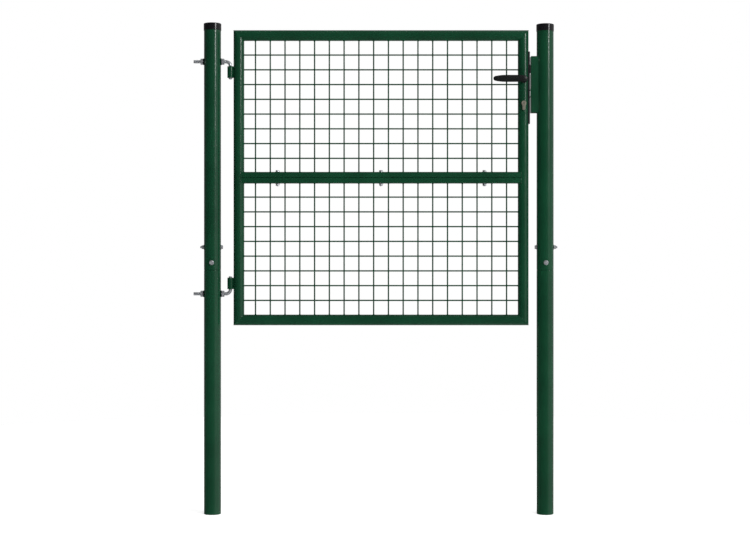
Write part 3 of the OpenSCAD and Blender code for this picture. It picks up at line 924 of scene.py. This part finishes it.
@dataclass
class LeafWelds:
    """The welds of the leaf: its mitres, the ends of its rails and wires, and the wire crossings."""

    tube_radius: float = 0.019
    mitre_drop: float = 0.0012
    rail_drop: float = 0.0016
    wire_drop: float = 0.0037
    wire_flat: float = 0.75
    cross_drop: float = 0.0021
    cross_flat: float = 0.6
    pitch: float = 0.6
    mitre_sunk: float = 0.66
    mitre_length: float = 7.6
    rail_sunk: float = 0.0004
    rail_short: float = 0.003

    def build(self) -> None:
        """Builds the beads of both halves."""
        self.mitres()
        self.rail_ends()
        for half in ("upper", "lower"):
            self.wires(half)

    def stile_axes(self) -> tuple[float, float]:
        """Where the axes of the two stiles stand, from left to right."""
        hinge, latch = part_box("upper_hinge_stile"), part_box("upper_latch_stile")
        return hinge[0].x + self.tube_radius, latch[1].x - self.tube_radius

    def mitres(self) -> None:
        """The ground beads round the four mitred corners."""
        shape, r = Shape(), self.tube_radius
        left, right = self.stile_axes()
        top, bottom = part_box("top_rail")[1].z - r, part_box("bottom_rail")[0].z + r
        sunk = r - self.mitre_sunk * self.mitre_drop
        for x, sx in ((left, -1), (right, 1)):
            for z, sz in ((bottom, -1), (top, 1)):
                def ring(t: float, x: float = x, z: float = z, sx: int = sx, sz: int = sz) -> Vector:
                    """A point of the mitre's oval."""
                    reach = sunk * math.cos(FULL_TURN * t)
                    return Vector((x + sx * reach, sunk * math.sin(FULL_TURN * t), z + sz * reach))
                bead(shape, ring, self.mitre_length * r, self.mitre_drop, self.pitch)
        shape.piece("mitre_welds", GREEN, "leaf", crease=60)

    def rail_ends(self) -> None:
        """The beads where the middle rails meet the stiles."""
        shape, r = Shape(), self.tube_radius
        left, right = self.stile_axes()
        for node, sign in (("upper_middle_rail", 1), ("lower_middle_rail", -1)):
            low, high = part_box(node)
            outer, inner = (high.z, low.z) if sign > 0 else (low.z, high.z)
            half = high.y - self.rail_sunk
            for x, sx in ((left, 1), (right, -1)):
                def over(t: float, x: float = x, sx: int = sx, z: float = outer) -> Vector:
                    """A point of the bead along the rail's outer face."""
                    y = (2 * t - 1) * (half - self.rail_short)
                    return Vector((x + sx * math.sqrt(r * r - y * y), y, z))
                bead(shape, over, 2 * half, self.rail_drop, self.pitch)
                for side in (-1, 1):
                    foot = Vector((x + sx * math.sqrt(r * r - half * half), side * half, 0))
                    def down(t: float, foot: Vector = foot, a: float = outer, b: float = inner) -> Vector:
                        """A point of the bead down the rail's face."""
                        return foot + Vector((0, 0, a + t * (b - a)))
                    bead(shape, down, high.z - low.z, self.rail_drop, self.pitch)
        shape.piece("middle_rail_welds", GREEN, "leaf", crease=60)

    def wires(self, half: str) -> None:
        """The drops at the wires' ends and the flats where the wires cross.

        Args:
            half: the half of the leaf, upper or lower.
        """
        ends, crossings = Shape(), Shape()
        uprights, crosswires = solids(f"{half}_mesh_uprights"), solids(f"{half}_mesh_crosswires")
        blob = drop(self.wire_drop, self.wire_flat)
        for box in uprights:
            x, y = middle(box).x, middle(box).y
            ends.stamp(blob, *[Matrix.Translation((x, y, z)) for z in (box[0].z, box[1].z)])
        turned = Matrix.Rotation(math.pi / 2, 4, "Y")
        for box in crosswires:
            y, z = middle(box).y, middle(box).z
            ends.stamp(blob, *[Matrix.Translation((x, y, z)) @ turned for x in (box[0].x, box[1].x)])
        touch = (uprights[0][0].y + crosswires[0][1].y) / 2
        flat = drop(self.cross_drop, self.cross_flat)
        turned = Matrix.Rotation(math.pi / 2, 4, "X")
        crossings.stamp(flat, *[Matrix.Translation((middle(u).x, touch, middle(c).z)) @ turned
                                for u in uprights for c in crosswires])
        ends.piece(f"{half}_wire_end_welds", GREEN, "leaf", crease=60)
        crossings.piece(f"{half}_crossing_welds", GREEN, "leaf", crease=60)


# ---- lock ----


@dataclass
class Lever:
    """The lever handle: a full oval grip, narrower at both ends, on a round neck."""

    node: str = "front_lever"
    sections: int = 22
    segments: int = 28
    neck_radius: float = 0.009
    hub_radius: float = 0.0115
    half_depth: float = 0.0065
    squareness: float = 2.5
    tip_round: float = 0.055
    tip_share: float = 0.55
    tip_thin: float = 0.09
    taper_end: float = 0.38
    hub_round: float = 0.14
    hub_reach: float = 0.45
    hub_curve: float = 1.5
    neck_flare: Pairs = ((0.0016, 0.0), (0.0012, 0.004), (-0.0004, 0.009))

    def outline(self, t: float, half_height: float) -> tuple[float, float]:
        """The grip's half height and half thickness share at a place along it.

        Args:
            t: the place, 0 at the tip and 1 at the hub's far end.
            half_height: the grip's greatest half height.

        Returns:
            The half height, and the thickness as a share of the full one.
        """
        tip = quarter_round(t / self.tip_round)
        tip *= self.tip_share + (1 - self.tip_share) * quarter_round(t / self.taper_end) ** 2
        hub = quarter_round((1 - t) / self.hub_round)
        narrowing = max(0.0, 1 - (1 - t) / self.hub_reach) ** self.hub_curve
        taper = 1 - (1 - self.hub_radius / half_height) * narrowing
        return half_height * tip * hub * taper, quarter_round(t / self.tip_thin) * hub

    def build(self) -> None:
        """Builds the grip and its neck as one piece."""
        low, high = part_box(self.node)
        axis = middle(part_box("lever_spindle"))
        half_height, grip_y = (high.z - low.z) / 2, low.y + self.half_depth
        x0, x1 = low.x, axis.x + self.hub_radius
        shape, loops = Shape(), []
        for i in range(1, self.sections):
            t = 0.5 - 0.5 * math.cos(math.pi * i / self.sections)
            tall, thick = self.outline(t, half_height)
            made = bmesh.ops.create_circle(shape.bm, segments=self.segments, radius=1.0)["verts"]
            for vert in made:
                for i_axis in (0, 1):
                    side = vert.co[i_axis]
                    vert.co[i_axis] = math.copysign(abs(side) ** (2 / self.squareness), side)
            place = (Matrix.Translation((x0 + t * (x1 - x0), grip_y, axis.z))
                     @ Matrix.Rotation(math.pi / 2, 4, "Y")
                     @ Matrix.Diagonal((tall, self.half_depth * thick, 1, 1)))
            bmesh.ops.transform(shape.bm, matrix=place, verts=made)
            loops.append(ring_edges(made))
        for near, far in zip(loops, loops[1:]):
            bmesh.ops.bridge_loops(shape.bm, edges=near + far)
        bmesh.ops.holes_fill(shape.bm, edges=loops[0])
        bmesh.ops.holes_fill(shape.bm, edges=loops[-1])
        shape.merged()
        reach = high.y - grip_y
        flare = [(self.neck_radius + out, height) for out, height in self.neck_flare]
        neck = Shape().turn([(0, 0), *flare, (flare[-1][0], reach), (0, reach)], closed=False, steps=40)
        shape.stamp(neck, Facing.BACK.at(Vector((axis.x, grip_y, axis.z))))
        shape.piece(f"moulded_{self.node}", LEVER_BLACK, "levers", self.node, crease=50)


@dataclass
class Knob:
    """The turning knob behind the lever, with shallow flutes round its rim."""

    node: str = "back_knob"
    flutes: int = 16
    neck_radius: float = 0.009
    grip_depth: float = 0.016
    cove: float = 0.003
    flare: float = 0.0012
    shoulder: float = 0.0026
    chamfer: float = 0.0034
    face_share: float = 0.72
    dish: float = 0.0005
    rounding: float = 0.0009
    flute_depth: float = 0.0007

    def build(self) -> None:
        """Builds the knob and its neck as one piece."""
        low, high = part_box(self.node)
        centre, r, depth = middle((low, high)), (high.x - low.x) / 2, high.y - low.y
        foot = depth - self.grip_depth
        shape = Shape().turn([(0, 0), (self.neck_radius, 0), (self.neck_radius, foot - self.cove),
                              (self.neck_radius + self.flare, foot), (r, foot + self.shoulder),
                              (r, depth - self.chamfer), (self.face_share * r, depth),
                              (0, depth - self.dish)], closed=False, steps=3 * self.flutes)
        band = [f for f in shape.bm.faces if math.hypot(*f.calc_center_median().xy) > 0.98 * r]
        bmesh.ops.inset_individual(shape.bm, faces=band[::3], thickness=self.rounding,
                                   depth=-self.flute_depth)
        shape.merged().soften(self.rounding, 22, 2, lambda e: all(v.co.z > foot - 1e-4 for v in e.verts))
        turned = Shape().stamp(shape, Facing.BACK.at(Vector((centre.x, low.y, centre.z))))
        turned.piece(f"fluted_{self.node}", LEVER_BLACK, "levers", self.node, crease=50)


@dataclass
class Lock:
    """What shows of the lock: its forend, bolts, roses, key cylinder, screws, lever and knob."""

    rose_lip: float = 0.0028
    rose_bore: float = 0.00905
    screw_shank: float = 0.0024
    screw_head: float = 0.0024
    screw_edge: float = 0.0002
    cross_share: float = 0.62
    cross_half_width: float = 0.00055
    cross_depth: float = 0.0013
    latch_travel: float = 0.0122

    def build(self) -> None:
        """Builds the lever and the knob, and softens the other parts."""
        Lever().build()
        Knob().build()
        self.roses()
        for node, finish, body, width in (
                ("lock_forend", FOREND_BLACK, "leaf", 0.35 * MM),
                ("cylinder_housing", BRASS, "leaf", 0.3 * MM),
                ("latch_bolt", LOCK_STEEL, "latch", 0.5 * MM), ("deadbolt", LOCK_STEEL, "dead", 0.5 * MM),
                ("front_cylinder_plug", BRASS, "key_plug", 0.15 * MM),
                ("back_cylinder_plug", BRASS, "key_plug", 0.15 * MM)):
            shape = copy_of(node).soften(width, 40, 2)
            shape.piece(f"finished_{node}", finish, body, node)
        self.screws()
        self.spring()

    def roses(self) -> None:
        """The two round roses under the lever and the knob."""
        shape = Shape()
        for box in solids("lever_roses"):
            side = -1 if middle(box).y < 0 else 1
            face = box[0].y if side < 0 else box[1].y
            radius, depth, bore = (box[1].x - box[0].x) / 2, box[1].y - box[0].y, self.rose_bore
            ring = Shape().turn([(bore, 0), (radius, 0), (radius, depth), (bore, depth)], steps=56)
            ring.soften(self.rose_lip, 60, 4,
                        lambda e: all(math.hypot(v.co.x, v.co.y) > bore + 1e-3 and v.co.z > depth - 1e-4
                                      for v in e.verts))
            facing = Facing.FRONT if side < 0 else Facing.BACK
            shape.stamp(ring, facing.at(Vector((middle(box).x, face - side * depth, middle(box).z))))
        shape.piece("moulded_lever_roses", LEVER_BLACK, "leaf", "lever_roses")

    def screws(self) -> None:
        """The forend's and the cylinder's screws, with cross recesses."""
        for node in ("forend_screws", "cylinder_screw"):
            shape = Shape()
            for box in solids(node):
                radius, length, edge = (box[1].z - box[0].z) / 2, box[1].x - box[0].x, self.screw_edge
                neck = length - self.screw_head
                screw = Shape().turn([(0, 0), (self.screw_shank, 0), (self.screw_shank, neck),
                                      (radius, length - edge), (radius - edge, length), (0, length)],
                                     closed=False, steps=32)
                self.recess(screw, length, self.cross_share * radius)
                shape.stamp(screw, Facing.RIGHT.at(Vector((box[0].x, middle(box).y, middle(box).z))))
            shape.piece(f"recessed_{node}", ZINC, "leaf", node)

    def spring(self) -> None:
        """The latch bolt's spring, copied from the CAD node onto a mesh of its own."""
        made = copy_of("latch_spring").piece("wound_latch_spring", LOCK_STEEL, "leaf", "latch_spring",
                                             crease=70)
        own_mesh(made)

    def recess(self, screw: Shape, z: float, reach: float) -> None:
        """Sinks a cross into a screw's flat end.

        Args:
            screw: the screw, along +Z.
            z: the height of its flat end.
            reach: how far the cross reaches from the axis.
        """
        bm, half_width = screw.bm, self.cross_half_width
        for axis in (Vector((1, 0, 0)), Vector((0, 1, 0))):
            for offset in (-reach, -half_width, half_width, reach):
                near = [f for f in bm.faces if all(v.co.z > z - 1e-5 for v in f.verts)]
                parts = near + list(dict.fromkeys(g for f in near for g in (*f.edges, *f.verts)))
                bmesh.ops.bisect_plane(bm, geom=parts, dist=1e-7, plane_co=axis * offset, plane_no=axis)
        arms = []
        for face in bm.faces:
            c = face.calc_center_median()
            across, along = sorted((abs(c.x), abs(c.y)))
            if c.z > z - 1e-5 and across < half_width and along < reach:
                arms.append(face)
        made = bmesh.ops.extrude_face_region(bm, geom=arms)
        bmesh.ops.delete(bm, geom=arms, context="FACES_ONLY")
        bmesh.ops.translate(bm, vec=(0, 0, -self.cross_depth),
                            verts=new_verts(made["geom"]))


@dataclass
class Keeper:
    """The folded channel on the latch post that takes the bolts, with its strike plate."""

    fold: float = 0.0009
    plate_edge: float = 0.0004
    drop_radius: float = 0.0019
    stitch: float = 0.022
    stitch_end: float = 0.003

    def build(self) -> None:
        """Builds the channel, the plate and the welds along the post."""
        copy_of("keeper_channel").soften(self.fold, 60, 3).piece(
            "folded_keeper_channel", GREEN, "posts", "keeper_channel")
        copy_of("keeper_strike_plate").soften(self.plate_edge, 60, 2).piece(
            "finished_strike_plate", GREEN, "posts", "keeper_strike_plate")
        low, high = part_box("keeper_channel")
        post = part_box("latch_post_upper")
        radius = (post[1].x - post[0].x) / 2
        shape, x = Shape(), middle(post).x - math.sqrt(radius ** 2 - high.y ** 2)
        for y in (low.y, high.y):
            for foot in (low.z + self.stitch_end, high.z - self.stitch - self.stitch_end):
                bead(shape, lambda t, y=y, z=foot: Vector((x, y, z + t * self.stitch)), self.stitch,
                     self.drop_radius)
        shape.piece("keeper_welds", GREEN, "posts", crease=60)


# ---- the CAD nodes that stay, and the studio ----


def dress_kept_nodes() -> None:
    """Gives every CAD node, shown or inside, the finish of its material slot."""
    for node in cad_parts.values():
        for slot in node.material_slots:
            name = slot.material.name.split(".")[0]
            slot.material = FINISHES[name].material()
        log.info("%s: dressed", node.name)


@dataclass(frozen=True)
class SoftLight:
    """A soft rectangular light: its place from the gate in degrees and metres, size and watts."""

    name: str
    azimuth: float
    elevation: float
    distance: float
    width: float
    height: float
    power: float
    glossy: bool = False

    def build(self, aim: Vector) -> None:
        """Hangs the light.

        Args:
            aim: the point that it faces.
        """
        data = bpy.data.lights.new(self.name, "AREA")
        data.shape, data.size, data.size_y, data.energy = "RECTANGLE", self.width, self.height, self.power
        light = bpy.data.objects.new(self.name, data)
        az, el = math.radians(self.azimuth), math.radians(self.elevation)
        way = Vector((math.sin(az) * math.cos(el), -math.cos(az) * math.cos(el), math.sin(el)))
        light.matrix_world = (Matrix.Translation(aim + way * self.distance)
                              @ way.to_track_quat("Z", "Y").to_matrix().to_4x4())
        light.visible_glossy = self.glossy
        bpy.context.scene.collection.objects.link(light)


@dataclass
class Studio:
    """A pale floor, soft lights and the camera."""

    distance: float = 5.3
    frame_width: float = 2.67
    camera_height: float = 0.873
    camera_x: float = 0.5785
    aim_height: float = 1.1
    floor_radius: float = 3.6
    floor_glow: float = 0.62
    sensor: float = 36.0
    lights: tuple[SoftLight, ...] = (
        SoftLight("key", 28, 13, distance=4.5, width=1.6, height=1.6, power=55),
        SoftLight("strip", 47, 21.2, distance=30.0, width=2.9, height=12.6, power=3200, glossy=True),
        SoftLight("fill", -150, 25, distance=4.5, width=2.0, height=2.0, power=40),
        SoftLight("top", 10, 80, distance=3.4, width=2.6, height=2.6, power=45))
    brightness: Pairs = ((-180, 0.22), (-150, 0.16), (-95, 0.10), (-60, 0.05), (0, 0.10), (28, 0.16),
                           (48, 0.5), (118, 0.5), (140, 0.3), (180, 0.22))

    def build(self) -> None:
        """Builds the floor, the surroundings, the lights and the camera."""
        self.floor()
        self.surroundings()
        for light in self.lights:
            light.build(Vector((self.camera_x, 0.0, self.aim_height)))
        data = bpy.data.cameras.new("camera")
        data.sensor_width = self.sensor
        data.lens = self.sensor * self.distance / self.frame_width
        camera = bpy.data.objects.new("camera", data)
        camera.location = (self.camera_x, -self.distance, self.camera_height)
        camera.rotation_euler = (math.pi / 2, 0, 0)
        bpy.context.scene.collection.objects.link(camera)
        bpy.context.scene.camera = camera
        bpy.context.scene.view_settings.view_transform = "Standard"

    def floor(self) -> None:
        """A round pale floor."""
        shape = Shape()
        bmesh.ops.create_circle(shape.bm, cap_ends=True, segments=96, radius=self.floor_radius,
                                matrix=Matrix.Translation((self.camera_x, 0, 0)))
        net = Net("pale_floor")
        net.join(net.colours(net.noise(0.6, 2.0), (0.3, (0.86, 0.86, 0.86)), (0.7, (0.88, 0.88, 0.88))),
                 net.shader.inputs["Base Color"])
        net.set(Roughness=0.9, Emission_Strength=self.floor_glow, Emission_Color=(1, 1, 1, 1))
        mesh = bpy.data.meshes.new("floor")
        shape.bm.to_mesh(mesh)
        mesh.materials.append(net.material)
        floor = bpy.data.objects.new("floor", mesh)
        bpy.context.scene.collection.objects.link(floor)
        floor.visible_glossy = False

    def surroundings(self) -> None:
        """A white backdrop, and softer surroundings whose brightness turns with the azimuth."""
        world = bpy.data.worlds.new("studio")
        bpy.context.scene.world = world
        world.use_nodes = True
        world.node_tree.nodes.clear()
        tree = Tree(world.node_tree)
        place, split = tree.add("ShaderNodeTexCoord"), tree.add("ShaderNodeSeparateXYZ")
        flip, turn = tree.add("ShaderNodeMath"), tree.add("ShaderNodeMath")
        flip.operation, turn.operation = "MULTIPLY", "ARCTAN2"
        flip.inputs[1].default_value = -1.0
        share = tree.add("ShaderNodeMapRange", From_Min=-math.pi, From_Max=math.pi)
        around, mix = tree.add("ShaderNodeBackground"), tree.add("ShaderNodeMixShader")
        backdrop = tree.add("ShaderNodeBackground", Color=(1, 1, 1, 1))
        rays, out = tree.add("ShaderNodeLightPath"), tree.add("ShaderNodeOutputWorld")
        for source, target in (
                (place.outputs["Generated"], split.inputs[0]), (split.outputs["Y"], flip.inputs[0]),
                (split.outputs["X"], turn.inputs[0]), (flip.outputs[0], turn.inputs[1]),
                (turn.outputs[0], share.inputs["Value"]), (rays.outputs["Is Camera Ray"], mix.inputs[0]),
                (around.outputs[0], mix.inputs[1]), (backdrop.outputs[0], mix.inputs[2]),
                (mix.outputs[0], out.inputs["Surface"])):
            tree.join(source, target)
        stops = [((angle + 180) / 360, (level,) * 3) for angle, level in self.brightness]
        tree.join(tree.colours(share.outputs[0], *stops), around.inputs["Color"])


def main() -> None:
    """Builds the gate piece by piece, then the studio."""
    logging.basicConfig(level=logging.INFO, format="%(name)s %(message)s")
    dress_kept_nodes()
    for name in ("hinge_post", "latch_post"):
        Post(name).build()
    BoltSet("splice_bolts", "splice_washers", "splice_nuts", "posts").build()
    BoltSet("middle_bolts", "middle_washers", "middle_nuts", "leaf").build()
    HookHinges().build()
    LeafWelds().build()
    Lock().build()
    Keeper().build()
    Studio().build()


if __name__ == "__main__":
    main()
